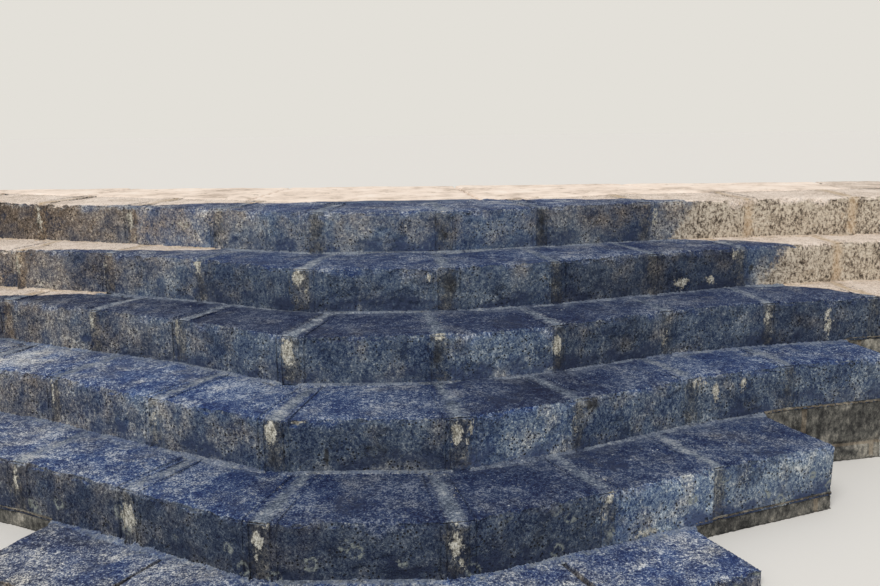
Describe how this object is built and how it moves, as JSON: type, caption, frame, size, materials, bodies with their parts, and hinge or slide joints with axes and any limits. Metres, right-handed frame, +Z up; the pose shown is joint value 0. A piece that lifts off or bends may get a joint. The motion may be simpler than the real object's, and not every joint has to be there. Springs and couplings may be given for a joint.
{
  "type": "bowed garden steps of cut limestone",
  "caption": "Bowed flight of low stone steps, each tread a chain of worn blocks with mortar joints, rising to a level landing.",
  "frame": {"origin": "middle of the base, halfway between the left and right ends and between the footing's front and the flat back", "axes": "+X to the right seen from the foot of the steps, +Y up the flight towards the landing, +Z up"},
  "size_m": [5.1758, 2.955, 0.91],
  "materials": {
    "worn_limestone": "weathered limestone blocks, dark with lichen and algae, pitted, worn noses",
    "lime_mortar": "sandy lime mortar, stained grey, flush joints and fillets",
    "landing_stone": "pale cream limestone paving, fine and dry",
    "flank_stone": "coursed limestone walling, grey and weathered",
    "backing_stone": "coursed limestone backing, cleaner and paler where it was covered"
  },
  "bodies": {
    "root": {"step_1_centre": "worn_limestone", "step_1_left_1": "worn_limestone", "step_1_left_2": "worn_limestone", "step_1_left_end": "worn_limestone", "step_1_right_1": "worn_limestone", "step_1_right_2": "worn_limestone", "step_1_right_end": "worn_limestone", "step_1_mortar": "lime_mortar", "step_2_centre": "worn_limestone", "step_2_left_1": "worn_limestone", "step_2_left_2": "worn_limestone", "step_2_left_end": "worn_limestone", "step_2_right_1": "worn_limestone", "step_2_right_2": "worn_limestone", "step_2_right_end": "worn_limestone", "step_2_mortar": "lime_mortar", "step_3_centre": "worn_limestone", "step_3_left_1": "worn_limestone", "step_3_left_2": "worn_limestone", "step_3_left_end": "worn_limestone", "step_3_right_1": "worn_limestone", "step_3_right_2": "worn_limestone", "step_3_right_end": "worn_limestone", "step_3_mortar": "lime_mortar", "step_4_centre": "worn_limestone", "step_4_left_1": "worn_limestone", "step_4_left_2": "worn_limestone", "step_4_left_end": "worn_limestone", "step_4_right_1": "worn_limestone", "step_4_right_2": "worn_limestone", "step_4_right_end": "worn_limestone", "step_4_mortar": "lime_mortar", "step_5_centre": "worn_limestone", "step_5_left_1": "worn_limestone", "step_5_left_2": "worn_limestone", "step_5_left_end": "worn_limestone", "step_5_right_1": "worn_limestone", "step_5_right_2": "worn_limestone", "step_5_right_end": "worn_limestone", "step_5_mortar": "lime_mortar", "riser_fillets": "lime_mortar", "footing_course": "worn_limestone", "landing": "landing_stone", "hearting": "backing_stone", "left_flank_wall": "flank_stone", "right_flank_wall": "flank_stone"}
  },
  "joints": []
}
